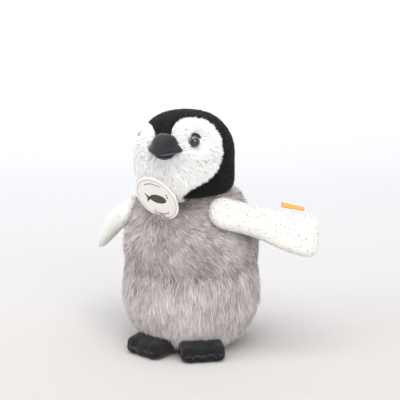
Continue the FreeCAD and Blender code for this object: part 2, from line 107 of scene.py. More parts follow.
def finish_material(material, shader):
    output = add_node(material.node_tree, "ShaderNodeOutputMaterial")
    material.node_tree.links.new(shader.outputs[0], output.inputs["Surface"])
    return material


def new_object(name, mesh, material=None):
    piece = bpy.data.objects.new(name, mesh)
    bpy.context.scene.collection.objects.link(piece)
    if material:
        mesh.materials.append(material)
    return piece


def paper_sweep():
    """A matt off-white backdrop: a flat floor, a wide curve and an upright back, with painted shade that is darkest
    on the near floor and paler further off.
    """
    mesh = bpy.data.meshes.new("paper_sweep")
    bm = bmesh.new()
    depth, radius, height, steps = 0.55, 0.5, 1.6, 24
    outline = [(-1.6, 0.0), (depth, 0.0)]
    for i in range(1, steps + 1):
        angle = math.pi / 2 * i / steps
        outline.append((depth + radius * math.sin(angle), radius * (1 - math.cos(angle))))
    outline.append((depth + radius, height))
    verts = [bm.verts.new((-2.5, y, z)) for y, z in outline]
    edges = [bm.edges.new(pair) for pair in zip(verts, verts[1:])]
    moved = bmesh.ops.extrude_edge_only(bm, edges=edges)["geom"]
    bmesh.ops.translate(bm, vec=(5, 0, 0), verts=[g for g in moved if isinstance(g, bmesh.types.BMVert)])
    bm.to_mesh(mesh)
    bm.free()
    mesh.shade_smooth()
    material, tree = new_material("matt backdrop paper with painted shade")
    place = add_node(tree, "ShaderNodeTexCoord")
    depth_of = add_node(tree, "ShaderNodeSeparateXYZ", {"Vector": place.outputs["Object"]})
    # Painted shade and light: the paper is mixed darker on the near floor and paler up the back.
    share = add_node(tree, "ShaderNodeMapRange", {"Value": depth_of.outputs["Y"]})
    share.inputs["From Min"].default_value, share.inputs["From Max"].default_value = -0.1, 0.75
    tone = add_node(tree, "ShaderNodeMix", {"Factor": share.outputs["Result"]}, data_type="RGBA")
    tone.inputs[6].default_value = linear("#c2bebb")
    tone.inputs[7].default_value = linear("#e2e4e8")
    shader = add_node(tree, "ShaderNodeBsdfPrincipled", {"Base Color": tone.outputs[2]}, Roughness=0.9)
    sweep = new_object("paper_sweep", mesh, finish_material(material, shader))
    sweep.rotation_euler.z = CAMERA_AZIMUTH


def soft_light(name, place, size, watts, colour):
    data = bpy.data.lights.new(name, "AREA")
    data.shape = "DISK"
    data.size = size
    data.energy = watts
    data.color = linear(colour)[:3]
    light = bpy.data.objects.new(name, data)
    bpy.context.scene.collection.objects.link(light)
    light.location = place
    light.rotation_mode = "QUATERNION"
    light.rotation_quaternion = (Vector((0, 0, 0.08)) - Vector(place)).to_track_quat("-Z", "Y")


paper_sweep()
soft_light("overhead", (0.15, -0.35, 1.25), 1.2, 12, "#fffdfa")
soft_light("front_left", (-0.9, -0.9, 0.55), 0.8, 4.6, "#fdfcff")
soft_light("front_right", (1.0, -0.7, 0.5), 0.8, 4.6, "#fffefc")
world = bpy.data.worlds.new("room")
world.use_nodes = True
world.node_tree.nodes["Background"].inputs["Color"].default_value = linear("#fbfcff")
world.node_tree.nodes["Background"].inputs["Strength"].default_value = 0.86
bpy.context.scene.world = world


# ---------------------------------------------------------------- body cloth
# The body is a knitted backing cut in four: a front, two backs and a round base.
# The panels are sewn edge to edge and stuffed, so they keep a lathe-turned shape
# with a shallow crease where the belly bulges under the chest.
CLOTH = 1.1 * MM
BASE_LOW, BODY_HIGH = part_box("body_front_panel")[0].z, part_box("body_front_panel")[1].z
BODY_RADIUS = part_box("body_back_left_panel")[1].y
BASE_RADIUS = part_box("body_base_panel")[1].x
SHOULDER = BODY_HIGH - BODY_RADIUS
BELLY = 38 * MM
CREASE = 57 * MM
NECK_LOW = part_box("hood_left_panel")[0].z - 14 * MM
FRONT_SPAN = math.radians(130)


def body_radius_at(z):
    """The body's radius: a swelling base, straight sides with a crease, a round shoulder."""
    swell = BODY_RADIUS - BASE_RADIUS + 2 * MM
    arc = (swell ** 2 + BELLY ** 2) / (2 * swell)
    if z < BELLY:
        return BODY_RADIUS - arc + math.sqrt(max(arc ** 2 - (BELLY - z) ** 2, 0))
    if z > SHOULDER:
        return math.sqrt(max(BODY_RADIUS ** 2 - (z - SHOULDER) ** 2, 0))
    return BODY_RADIUS - 0.5 * MM * math.exp(-((z - CREASE) / (4 * MM)) ** 2)


def body_outline():
    """Points (radius, height) from the base's edge to the top, even along the curve."""
    heights = [i * 1.4 * MM for i in range(int(SHOULDER / (1.4 * MM)))]
    points = [(body_radius_at(z), z) for z in heights]
    steps = 40
    for i in range(steps + 1):
        angle = math.pi / 2 * i / steps
        points.append((BODY_RADIUS * math.cos(angle), SHOULDER + BODY_RADIUS * math.sin(angle)))
    return points


def turned(name, outline, start, span, steps, centre_y=0.0, wall=CLOTH):
    """A sheet spun about a vertical axis, facing outwards; the wall argument is not used."""
    mesh = bpy.data.meshes.new(name)
    bm = bmesh.new()
    ring = [bm.verts.new((r * math.cos(start), centre_y + r * math.sin(start), z)) for r, z in outline]
    edges = [bm.edges.new(pair) for pair in zip(ring, ring[1:])]
    bmesh.ops.spin(bm, geom=ring + edges, cent=(0, centre_y, 0), axis=(0, 0, 1), dvec=(0, 0, 0),
                   angle=span, steps=steps, use_merge=span > 6.28, use_duplicate=False)
    bmesh.ops.remove_doubles(bm, verts=bm.verts, dist=0.02 * MM)
    bmesh.ops.recalc_face_normals(bm, faces=bm.faces)
    outward = sum((f.calc_center_median() - Vector((0, centre_y, f.calc_center_median().z))).dot(f.normal)
                  for f in bm.faces)
    if outward < 0:
        bmesh.ops.reverse_faces(bm, faces=bm.faces)
    bm.to_mesh(mesh)
    bm.free()
    mesh.shade_smooth()
    return mesh


def walled(piece, wall=CLOTH):
    """Gives a sheet its thickness, inwards."""
    solid = piece.modifiers.new("wall", "SOLIDIFY")
    solid.thickness = wall
    solid.offset = -1
    return piece


def backing_cloth(name, colour, roughness=0.95):
    """Knitted polyester backing: loops about 0.8 mm apart make a fine, slightly uneven surface."""
    material, tree = new_material(name)
    place = add_node(tree, "ShaderNodeTexCoord")
    loops = add_node(tree, "ShaderNodeTexNoise", {"Vector": place.outputs["Object"]},
                     Scale=1 / (0.8 * MM), Detail=3.0)
    tone = add_node(tree, "ShaderNodeMix", {"Factor": loops.outputs["Fac"]}, data_type="RGBA")
    tone.inputs[6].default_value = linear(colour)
    tone.inputs[7].default_value = [c * 0.7 for c in linear(colour)[:3]] + [1]
    bump = add_node(tree, "ShaderNodeBump", {"Height": loops.outputs["Fac"]}, Strength=0.4, Distance=0.2 * MM)
    shader = add_node(tree, "ShaderNodeBsdfPrincipled",
                      {"Base Color": tone.outputs[2], "Normal": bump.outputs["Normal"]},
                      Roughness=roughness)
    shader.inputs["Sheen Weight"].default_value = 0.2
    return finish_material(material, shader)


grey_backing = backing_cloth("grey knitted backing", "#9c9492")
PANELS = {
    "body_front_cloth": ("body_front_panel", -math.pi / 2 - FRONT_SPAN / 2, FRONT_SPAN),
    "body_back_left_cloth": ("body_back_left_panel", -math.pi / 2 + FRONT_SPAN / 2,
                             math.pi - FRONT_SPAN / 2),
    "body_back_right_cloth": ("body_back_right_panel", math.pi / 2, math.pi - FRONT_SPAN / 2),
}
body_cloths = {}
for name, (node, start, span) in PANELS.items():
    cloth = new_object(name, turned(name, body_outline(), start, span, 48), grey_backing)
    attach(cloth, "torso")
    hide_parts(node)
    body_cloths[name] = cloth


# ---------------------------------------------------------------- pile
# Every plush here is the same kind of thing: fibres that stand out of the backing
# and lie over one way. Each fibre is a narrow tapered blade, drawn a little wider
# than a real one, with its own shade, and neighbours lean together into locks.

FLOOR_GAP = 0.4 * MM


def scatter(mesh, count, rng):
    """Random places on a mesh, even by area, with the smooth normal at each."""
    mesh.calc_loop_triangles()
    corners = np.empty(len(mesh.loop_triangles) * 3, np.int32)
    mesh.loop_triangles.foreach_get("vertices", corners)
    corners = corners.reshape(-1, 3)
    points = np.empty(len(mesh.vertices) * 3, np.float32)
    mesh.vertices.foreach_get("co", points)
    points = points.reshape(-1, 3)
    normals = np.empty(len(mesh.vertices) * 3, np.float32)
    mesh.vertices.foreach_get("normal", normals)
    normals = normals.reshape(-1, 3)
    a, b, c = (points[corners[:, i]] for i in range(3))
    area = np.linalg.norm(np.cross(b - a, c - a), axis=1)
    chosen = rng.choice(len(area), count, p=area / area.sum())
    u, v = rng.random((2, count))
    flip = u + v > 1
    u[flip], v[flip] = 1 - u[flip], 1 - v[flip]
    weights = np.stack([1 - u - v, u, v], 1)[:, :, None]
    place = (points[corners[chosen]] * weights).sum(1)
    normal = unit((normals[corners[chosen]] * weights).sum(1))
    return place, normal


def unit(vectors):
    return vectors / np.maximum(np.linalg.norm(vectors, axis=1, keepdims=True), 1e-12)


def flattened(directions, normals):
    """Directions laid into the surface and made unit length."""
    along = (directions * normals).sum(1, keepdims=True)
    return unit(directions - along * normals)


def locks(roots, share, rng):
    """For each fibre, the number of the fibre at the heart of its lock."""
    hearts = rng.choice(len(roots), max(1, int(len(roots) * share)), replace=False)
    tree = kdtree.KDTree(len(hearts))
    for index in hearts:
        tree.insert(roots[index], int(index))
    tree.balance()
    return np.array([tree.find(root)[1] for root in roots])


def waves(points, size, seed):
    """A smooth random field from 0 to 1, with bumps about that size apart."""
    rng = np.random.default_rng(seed)
    total = np.zeros(len(points))
    for _ in range(10):
        direction = rng.normal(size=3)
        direction /= np.linalg.norm(direction)
        reach = 2 * math.pi / (size * rng.uniform(0.7, 1.6))
        total += np.sin(points @ direction * reach + rng.uniform(0, 2 * math.pi))
    return 0.5 + 0.5 * np.tanh(total / 3)


def blades(name, roots, normals, lines, widths, shade, softness, material):
    """One mesh of tapered blades. lines is (fibre, step, xyz); the last step is the point."""
    count, steps = lines.shape[:2]
    along = np.gradient(lines, axis=1)
    rng = np.random.default_rng(len(roots))
    facing = normals[:, None, :] + 0.45 * rng.normal(size=(count, 1, 3))
    side = np.cross(along, facing)
    side /= np.maximum(np.linalg.norm(side, axis=2, keepdims=True), 1e-12)
    left = lines[:, :-1] - side[:, :-1] * widths[:, :-1, None] / 2
    right = lines[:, :-1] + side[:, :-1] * widths[:, :-1, None] / 2
    pairs = np.stack([left, right], 2).reshape(count, -1, 3)
    verts = np.concatenate([pairs, lines[:, -1:]], 1)
    per = verts.shape[1]
    faces = []
    for i in range(steps - 2):
        k = 2 * i
        faces += [[k, k + 1, k + 3], [k, k + 3, k + 2]]
    faces.append([per - 3, per - 2, per - 1])
    faces = (np.arange(count)[:, None, None] * per + np.array(faces)[None]).reshape(-1, 3)

    mesh = bpy.data.meshes.new(name)
    mesh.vertices.add(count * per)
    mesh.vertices.foreach_set("co", verts.astype(np.float32).ravel())
    mesh.loops.add(len(faces) * 3)
    mesh.loops.foreach_set("vertex_index", faces.astype(np.int32).ravel())
    mesh.polygons.add(len(faces))
    mesh.polygons.foreach_set("loop_start", np.arange(0, len(faces) * 3, 3, dtype=np.int32))
    mesh.update(calc_edges=True)
    step_of = np.concatenate([np.repeat(np.arange(steps - 1), 2), [steps - 1]]) / (steps - 1)
    values = np.clip(shade[:, None] + 0.30 * (step_of[None] - 0.55), 0, 1)
    attribute = mesh.attributes.new("shade", "FLOAT", "POINT")
    attribute.data.foreach_set("value", values.astype(np.float32).ravel())
    mesh.shade_smooth()
    face_normals = np.cross(side[:, 0], along[:, 0])
    outward = np.sign((face_normals * normals).sum(1, keepdims=True))
    custom = unit(softness * normals + (1 - softness) * unit(face_normals) * outward)
    mesh.normals_split_custom_set_from_vertices(np.repeat(custom, per, axis=0).tolist())
    return new_object(name, mesh, material)


def grow(name, skin, count, length, width, lift, comb, shade, material, body,
         steps=4, clump=0.45, clump_share=0.05, stray=0.2, seed=1, keep=None, softness=0.6):
    """Pile on a cloth. length, lift, comb and shade may be functions of the roots' places."""
    rng = np.random.default_rng(seed)
    roots, normals = scatter(skin.data, count, rng)
    if keep is not None:
        kept = keep(roots)
        roots, normals = roots[kept], normals[kept]
    count = len(roots)
    reach = length(roots) if callable(length) else np.full(count, length)
    reach = reach * rng.uniform(0.72, 1.12, count)
    rise = lift(roots) if callable(lift) else np.full(count, lift)
    rise = np.clip(rise + rng.normal(0, 0.09, count), 0.08, 1)
    lie = flattened(comb(roots, normals) + stray * rng.normal(size=(count, 3)), normals)
    across = np.cross(normals, lie)
    s = np.linspace(0, 1, steps)
    up = rise[:, None] * (1 - (1 - s) ** 1.8)
    over = np.sqrt(1 - 0.7 * rise[:, None] ** 2) * s ** 1.25
    bend = rng.normal(0, 0.10, (count, 1)) * s ** 2
    lines = roots[:, None] - 0.2 * MM * normals[:, None] + reach[:, None, None] * (
        up[:, :, None] * normals[:, None] + over[:, :, None] * lie[:, None] + bend[:, :, None] * across[:, None])
    if clump:
        heart = locks(roots, clump_share, rng)
        pull = clump * s[None, :, None] ** 1.6 * rng.uniform(0.5, 1.2, (count, 1, 1))
        lines = lines + np.minimum(pull, 0.95) * (lines[heart] - lines)
        lock_tone = rng.uniform(-1, 1, count)[heart]
    else:
        lock_tone = np.zeros(count)
    lines[:, :, 2] = np.maximum(lines[:, :, 2], FLOOR_GAP)
    taper = np.array([1.0, 0.95, 0.7, 0.0]) if steps == 4 else np.array([1.0, 0.8, 0.0])
    widths = width * rng.uniform(0.7, 1.3, (count, 1)) * taper[None]
    tones = shade(roots, lock_tone, rng) if callable(shade) else np.full(count, shade)
    piece = blades(name, roots, normals, lines, widths, np.clip(tones, 0, 1), softness, material)
    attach(piece, body)
    return piece


def fibre(name, stops, roughness=0.8, sheen=0.25, glow=0.1):
    """Acrylic pile: a dark to pale shade, a soft sheen, and a share of light let through the fibre."""
    material, tree = new_material(name)
    tone = add_node(tree, "ShaderNodeAttribute", attribute_name="shade")
    ramp = add_node(tree, "ShaderNodeValToRGB", {"Fac": tone.outputs["Fac"]})
    ramp.color_ramp.elements[0].color = linear(stops[0])
    ramp.color_ramp.elements[1].color = linear(stops[-1])
    for i, stop in enumerate(stops[1:-1], start=1):
        ramp.color_ramp.elements.new(i / (len(stops) - 1)).color = linear(stop)
    shader = add_node(tree, "ShaderNodeBsdfPrincipled", {"Base Color": ramp.outputs["Color"]},
                      Roughness=roughness)
    shader.inputs["Specular IOR Level"].default_value = 0.25
    shader.inputs["Sheen Weight"].default_value = sheen
    behind = add_node(tree, "ShaderNodeBsdfTranslucent", {"Color": ramp.outputs["Color"]})
    both = add_node(tree, "ShaderNodeMixShader", {1: shader.outputs[0], 2: behind.outputs[0]}, Fac=glow)
    return finish_material(material, both)


# ---------------------------------------------------------------- body pile
# Long mottled grey pile. It parts under the chin, sweeps outwards over the chest,
# and hangs straight down and longer over the belly below the crease.
grey_fibre = fibre("grey acrylic long pile", ["#5a5452", "#9a9290", "#c4bdbb", "#e2dcda", "#f6f3f1"])


def body_length(roots):
    z = roots[:, 2]
    belly = np.clip((CREASE - z) / (10 * MM), 0, 1)
    foot = np.clip((14 * MM - z) / (14 * MM), 0, 1)
    return (10.5 + 3 * belly - 8 * foot) * MM


def body_lift(roots):
    z = roots[:, 2]
    low = np.clip((16 * MM - z) / (16 * MM), 0, 1)
    neck = np.clip((z - NECK_LOW) / (10 * MM), 0, 1)
    return 0.36 - 0.12 * low + 0.45 * neck


def body_comb(roots, normals):
    """Away from the middle of the chest above the crease, straight down below it."""
    z = roots[:, 2]
    chest = np.clip((z - CREASE + 4 * MM) / (10 * MM), 0, 1)
    azimuth = np.arctan2(roots[:, 0], -roots[:, 1])
    turn = np.stack([np.cos(azimuth), np.sin(azimuth), np.zeros(len(z))], 1)
    spread = np.tanh((azimuth + 0.25) * 1.6) * np.clip(1.4 - np.abs(azimuth) / 2, 0, 1)
    sideways = (1.0 * chest + 0.12) * spread
    wander = 0.5 * (waves(roots, 26 * MM, 5) - 0.5)
    down = -np.ones(len(z)) * (0.75 + 0.25 * (1 - chest))
    return turn * (sideways + wander)[:, None] + np.array([0, 0, 1.0]) * down[:, None]


def body_shade(roots, lock_tone, rng):
    z = roots[:, 2]
    belly = np.clip((CREASE + 3 * MM - z) / (8 * MM), 0, 1)
    # band is painted shade: a darker stretch of pile along and just above the crease, where the chest bulges over the
    # belly.
    band = np.exp(-((z - CREASE - 6 * MM) / (9 * MM)) ** 2)
    mottle = waves(roots, 9 * MM, 3) - 0.5
    patch = waves(roots, 30 * MM, 4) - 0.5
    tone = 0.50 + 0.14 * belly - 0.08 * band + 0.16 * lock_tone + 0.18 * mottle + 0.14 * patch
    return tone + rng.normal(0, 0.15, len(z))


PILE_BANDS = {
    "lower": lambda roots: roots[:, 2] < BELLY,
    "middle": lambda roots: (roots[:, 2] >= BELLY) & (roots[:, 2] < SHOULDER),
    "upper": lambda roots: (roots[:, 2] >= SHOULDER) & (roots[:, 2] < NECK_LOW + 9 * MM),
}
for name, cloth in body_cloths.items():
    total = 120000 if "front" in name else 66000
    for number, (band, keep) in enumerate(PILE_BANDS.items()):
        grow(name.replace("cloth", f"pile_{band}"), cloth, total, body_length, 0.3 * MM, body_lift,
             body_comb, body_shade, grey_fibre, "torso",
             seed=11 + number, keep=keep, clump=0.55, clump_share=0.035, stray=0.28)


def base_cloth():
    """The round base: a disc of backing with its edge turned in at the seam."""
    mesh = bpy.data.meshes.new("body_base_cloth")
    bm = bmesh.new()
    bmesh.ops.create_circle(bm, cap_ends=True, cap_tris=False, segments=72, radius=BASE_RADIUS - 2 * MM)
    inset = bmesh.ops.inset_region(bm, faces=bm.faces[:], thickness=1.5 * MM, depth=0)
    bmesh.ops.inset_region(bm, faces=[f for f in bm.faces if len(f.verts) > 4], thickness=6 * MM, depth=0)
    bmesh.ops.translate(bm, verts=bm.verts, vec=(0, 0, 0.02 * MM))
    rim = [v for v in bm.verts if v.co.xy.length > BASE_RADIUS - 3 * MM]
    bmesh.ops.translate(bm, verts=rim, vec=(0, 0, 0.5 * MM))
    bmesh.ops.reverse_faces(bm, faces=bm.faces)
    bm.to_mesh(mesh)
    bm.free()
    piece = walled(new_object("body_base_cloth", mesh, grey_backing))
    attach(piece, "torso")
    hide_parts("body_base_panel")


base_cloth()
for cloth in body_cloths.values():
    walled(cloth)


# ---------------------------------------------------------------- head cloth
# The head is a stuffed dome: a black gusset from the beak over the crown to the nape,
# a black side each way, and two white face panels let into the sides that meet at the chin.
HEAD_LOW, HEAD_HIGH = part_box("hood_left_panel")[0].z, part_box("hood_left_panel")[1].z
HEAD_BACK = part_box("hood_left_panel")[1].y
HEAD_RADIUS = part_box("hood_left_panel")[1].x
HEAD_Y = HEAD_BACK - HEAD_RADIUS
CROWN = 25 * MM
RIM = 6 * MM
GUSSET_HALF = 3.9 * MM
# Azimuth from the front in degrees and height above the head's rim in millimetres.
FACE_EDGE = [(0, -3), (23, -3), (25, 4.5), (31, 8.5), (41, 11.5), (53, 14.5), (62, 18.5), (68, 24.5),
             (70.5, 31.5), (69.5, 37.5), (65, 42), (52, 45), (25, 44.8), (13, 42.5), (9.5, 40), (9, 33.5), (0, 28.5)]
RIGHT_FACE_DROP = 4.5


def head_outline():
    """From inside the rim, round it, up the straight side and over the crown."""
    points = [(r * MM, HEAD_LOW + 0.2 * MM) for r in (16, 20)]
    flat = HEAD_RADIUS - RIM
    for i in range(9):
        angle = -math.pi / 2 + math.pi / 2 * i / 8
        points.append((flat + RIM * math.cos(angle), HEAD_LOW + RIM + RIM * math.sin(angle)))
    side = np.arange(HEAD_LOW + RIM + 0.8 * MM, HEAD_HIGH - CROWN, 0.8 * MM)
    points += [(HEAD_RADIUS, z) for z in side]
    steps = 48
    for i in range(steps + 1):
        angle = math.pi / 2 * i / steps
        flat_top = HEAD_RADIUS - CROWN
        points.append((flat_top + CROWN * math.cos(angle), HEAD_HIGH - CROWN + CROWN * math.sin(angle)))
    points.append((0.0, HEAD_HIGH + 0.3 * MM))
    return points


def inside(outline, x, y):
    """Whether a point lies in a closed outline."""
    hit = False
    for (x0, y0), (x1, y1) in zip(outline, outline[1:] + outline[:1]):
        if (y0 > y) != (y1 > y) and x < (x1 - x0) * (y - y0) / (y1 - y0) + x0:
            hit = not hit
    return hit


def head_panel_of(centre):
    """The name of the panel that a face of the head belongs to."""
    azimuth = math.degrees(math.atan2(abs(centre.x), HEAD_Y - centre.y))
    side = "left" if centre.x > 0 else "right"
    height = (centre.z - HEAD_LOW) / MM
    if side == "right":
        height += RIGHT_FACE_DROP * min(1, max(0, (height - 15) / 20))
    if inside(FACE_EDGE, azimuth, height):
        return f"face_{side}"
    front = centre.y < HEAD_Y
    widening = max(0.0, centre.z - HEAD_LOW - 39 * MM) * 0.35 if front else 2 * MM
    if abs(centre.x) < GUSSET_HALF + widening:
        return "hood_gusset"
    return f"hood_{side}"


head_mesh = turned("head", head_outline(), 0, 2 * math.pi, 180, centre_y=HEAD_Y)


def cut_panel(name, source, belongs, material):
    """The faces of a mesh that pass the test, as a cloth of their own."""
    bm = bmesh.new()
    bm.from_mesh(source)
    spare = [face for face in bm.faces if not belongs(face)]
    bmesh.ops.delete(bm, geom=spare, context="FACES")
    mesh = bpy.data.meshes.new(name)
    bm.to_mesh(mesh)
    bm.free()
    mesh.materials.clear()
    mesh.shade_smooth()
    return new_object(name, mesh, material)


def head_panel(name, panel, material, slot, *replaced):
    cloth = cut_panel(name, head_mesh, lambda f: head_panel_of(f.calc_center_median()) == panel, material)
    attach(cloth, "head")
    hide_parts(*replaced)
    return cloth


black_backing = backing_cloth("black knitted backing", "#17181a")
white_backing = backing_cloth("white knitted backing", "#fbfaf8")
head_cloths = {
    panel: head_panel(f"{panel}_cloth", panel, black_backing if "hood" in panel else white_backing,
                      "black_plush" if "hood" in panel else "white_shag",
                      panel if panel == "hood_gusset" else f"{panel}_panel")
    for panel in ("hood_gusset", "hood_left", "hood_right", "face_left", "face_right")
}


# ---------------------------------------------------------------- head pile
# The hood is a dense short plush brushed down and back. The face is a longer,
# looser white shag that fans out from the beak and overlaps the hood's edge.
black_fibre = fibre("black acrylic short pile", ["#050506", "#0f1012", "#1b1c1f", "#2c2e32"], sheen=0.2)
white_fibre = fibre("white acrylic shag", ["#f3f2ee", "#fbfbf9", "#fefefd", "#ffffff"], sheen=0.4, glow=0.25)
LEFT_EYE = sum(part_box("eye_left"), Vector()) / 2
RIGHT_CHEEK = Vector((-17 * MM, HEAD_Y - 27 * MM, LEFT_EYE.z))


def hood_comb(roots, normals):
    back_way = np.array([0, 1.0, -0.9])
    return np.repeat(back_way[None], len(roots), 0)


def plain_shade(middle, spread, lock=0.1):
    return lambda roots, lock_tone, rng: middle + lock * lock_tone + rng.normal(0, spread, len(roots))


def face_comb(roots, normals):
    beak = np.array([0, HEAD_Y - HEAD_RADIUS, HEAD_LOW + 34 * MM])
    away = roots - beak
    return unit(away) + np.array([0, 0, -0.35])


def tufted(roots):
    """How near the roots are to the tuft that stands between the beak and the right eye."""
    return np.exp(-(np.linalg.norm(roots - np.array(RIGHT_CHEEK), axis=1) / (4.5 * MM)) ** 2)


def face_length(roots):
    """Shaggy, but clipped round the left eye so that it shows, and longest in the right tuft."""
    from_eye = np.linalg.norm(roots - np.array(LEFT_EYE), axis=1)
    return (1.8 + 4.2 * np.clip((from_eye - 4.0 * MM) / (3.5 * MM), 0, 1) + 2 * tufted(roots)) * MM


def face_lift(roots):
    return 0.5 + 0.35 * tufted(roots)


for panel, cloth in head_cloths.items():
    if "hood" in panel:
        grow(f"{panel}_pile", cloth, 14000 if panel == "hood_gusset" else 34000, 3.1 * MM, 0.32 * MM, 0.6,
             hood_comb, plain_shade(0.42, 0.14), black_fibre, "head",
             steps=3, clump=0.35, clump_share=0.08, seed=31, softness=0.5)
    else:
        grow(f"{panel}_pile", cloth, 36000, face_length, 0.42 * MM, face_lift,
             face_comb, plain_shade(0.6, 0.12), white_fibre, "head",
             steps=4, clump=0.4, clump_share=0.04, seed=41, softness=0.55)
for cloth in head_cloths.values():
    walled(cloth)


# ---------------------------------------------------------------- beak
# Two pieces of dark charcoal velour over a pinch of filling: a hooked upper with
# drawn-out mouth corners, and a smaller lower jaw tucked under it.
BEAK_LOW, BEAK_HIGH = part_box("beak_lower")[0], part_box("beak_upper")[1]
BEAK_MIDDLE = (BEAK_LOW.z + BEAK_HIGH.z) / 2
BEAK_SIDE = (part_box("beak_upper")[0].x + BEAK_HIGH.x) / 2


def velour(name, colour, pile=0.35):
    """Clipped velour: a matt, very fine nap with faint brushed patches and a soft bright rim."""
    material, tree = new_material(name)
    place = add_node(tree, "ShaderNodeTexCoord")
    nap = add_node(tree, "ShaderNodeTexNoise", {"Vector": place.outputs["Object"]},
                   Scale=1 / (pile * MM), Detail=4.0, Roughness=0.7)
    brushed = add_node(tree, "ShaderNodeTexNoise", {"Vector": place.outputs["Object"]},
                       Scale=1 / (9 * MM), Detail=2.0)
    both = add_node(tree, "ShaderNodeMath", {0: nap.outputs["Fac"], 1: brushed.outputs["Fac"]},
                    operation="ADD")
    ramp = add_node(tree, "ShaderNodeValToRGB", {"Fac": both.outputs[0]})
    base = linear(colour)
    ramp.color_ramp.elements[0].position = 0.7
    ramp.color_ramp.elements[0].color = [c * 0.62 for c in base[:3]] + [1]
    ramp.color_ramp.elements[1].position = 1.3
    ramp.color_ramp.elements[1].color = [min(1, c * 1.35) for c in base[:3]] + [1]
    bump = add_node(tree, "ShaderNodeBump", {"Height": nap.outputs["Fac"]}, Strength=0.5, Distance=0.12 * MM)
    shader = add_node(tree, "ShaderNodeBsdfPrincipled",
                      {"Base Color": ramp.outputs["Color"], "Normal": bump.outputs["Normal"]}, Roughness=0.9)
    shader.inputs["Specular IOR Level"].default_value = 0.2
    shader.inputs["Sheen Weight"].default_value = 0.35
    shader.inputs["Sheen Roughness"].default_value = 0.45
    return finish_material(material, shader)


charcoal_velour = velour("charcoal beak velour", "#252429")


def lofted(name, rings, material, smooth=2):
    """Closed rings joined in order, with both ends filled, then subdivided."""
    mesh = bpy.data.meshes.new(name)
    bm = bmesh.new()
    loops = []
    for ring in rings:
        verts = [bm.verts.new(p) for p in ring]
        loops.append([bm.edges.new((verts[i - 1], verts[i])) for i in range(len(verts))])
    for first, second in zip(loops, loops[1:]):
        bmesh.ops.bridge_loops(bm, edges=first + second)
    for end in (loops[0], loops[-1]):
        bmesh.ops.contextual_create(bm, geom=list({v for e in end for v in e.verts}))
    bmesh.ops.recalc_face_normals(bm, faces=bm.faces)
    bm.to_mesh(mesh)
    bm.free()
    mesh.shade_smooth()
    piece = new_object(name, mesh, material)
    surface = piece.modifiers.new("soft", "SUBSURF")
    surface.levels = surface.render_levels = smooth
    return piece


def beak_ring(half_outline, scale, proud, middle, droop):
    """The half outline mirrored, shrunk towards its middle and wrapped on the head, proud of it."""
    other_half = [(-x, z) for x, z in reversed(half_outline) if x > 0]
    ring = []
    for x, z in half_outline + other_half:
        x = x * scale * MM
        z = (middle + (z - middle) * scale - droop) * MM
        y = HEAD_Y - math.sqrt(HEAD_RADIUS ** 2 - x * x) - proud * MM
        ring.append((BEAK_SIDE + x, y, BEAK_MIDDLE + z))
    return ring


def beak_piece(name, half_outline, middle, reach, hook, *replaced):
    """A cushion over the outline, domed to its reach and hooked down at the tip."""
    rings = [beak_ring(half_outline, 1.0, -2.0, middle, 0)]
    for scale in (1.0, 0.97, 0.9, 0.78, 0.6, 0.38, 0.14):
        proud = reach * (1 - scale ** 2.4) ** 0.62 + 0.3
        rings.append(beak_ring(half_outline, scale, proud, middle, hook * (1 - scale) ** 1.5))
    piece = lofted(name, rings, charcoal_velour)
    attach(piece, "head")
    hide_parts(*replaced)


# Half outlines from the top to the bottom, in millimetres across and above the beak's middle.
UPPER_BEAK = [(0, 8.4), (4.0, 8.2), (7.2, 6.2), (8.8, 2.8), (10.6, 0.6), (13.8, -1.8), (9.6, -3.6), (5.2, -5.0),
              (0, -5.6)]
LOWER_BEAK = [(0, -2.4), (6.0, -2.5), (9.4, -3.0), (7.6, -6.4), (4.0, -8.2), (0, -8.6)]
beak_piece("beak_upper_velour", UPPER_BEAK, -0.4, 9.4, 3.8, "beak_upper", "beak_stuffing")
beak_piece("beak_lower_velour", LOWER_BEAK, -4.4, 5.0, 0.4, "beak_lower")


# ---------------------------------------------------------------- eyes
# A turned plastic eye: a clear dome over a dark brown ring and a black pupil,
# held by its shank through the cloth and a washer behind it.

def eye_plastic(name, colour, roughness):
    material, tree = new_material(name)
    shader = add_node(tree, "ShaderNodeBsdfPrincipled", Base_Color=linear(colour), Roughness=roughness, IOR=1.5)
    shader.inputs["Coat Weight"].default_value = 1.0
    shader.inputs["Coat Roughness"].default_value = 0.03
    return finish_material(material, shader)


brown_iris = eye_plastic("brown eye plastic", "#4b4440", 0.25)
black_pupil = eye_plastic("black eye plastic", "#0b0b0c", 0.12)
EYE_SEAT = {"left": 0.2 * MM, "right": -0.6 * MM}
for side in ("left", "right"):
    low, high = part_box(f"eye_{side}")
    sign = 1 if side == "left" else -1
    turn = math.radians(41)
    outward = Vector((sign * math.sin(turn), -math.cos(turn), 0))
    seat = Vector((0, HEAD_Y, (low.z + high.z) / 2)) + outward * (HEAD_RADIUS + EYE_SEAT[side])
    mesh = bpy.data.meshes.new(f"eye_{side}_dome")
    bm = bmesh.new()
    bmesh.ops.create_uvsphere(bm, u_segments=48, v_segments=32, radius=3.6 * MM)
    bmesh.ops.scale(bm, vec=(1, 1, 0.7), verts=bm.verts)
    bmesh.ops.rotate(bm, cent=(0, 0, 0), matrix=Vector((0, 0, 1)).rotation_difference(outward).to_matrix(), verts=bm.verts)
    bmesh.ops.translate(bm, vec=seat, verts=bm.verts)
    for face in bm.faces:
        off = face.calc_center_median() - seat
        face.material_index = 1 if (off - outward * off.dot(outward)).length < 2.5 * MM else 0
    bm.to_mesh(mesh)
    bm.free()
    mesh.shade_smooth()
    eye = new_object(f"eye_{side}_dome", mesh, brown_iris)
    mesh.materials.append(black_pupil)
    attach(eye, "head")
    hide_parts(f"eye_{side}")


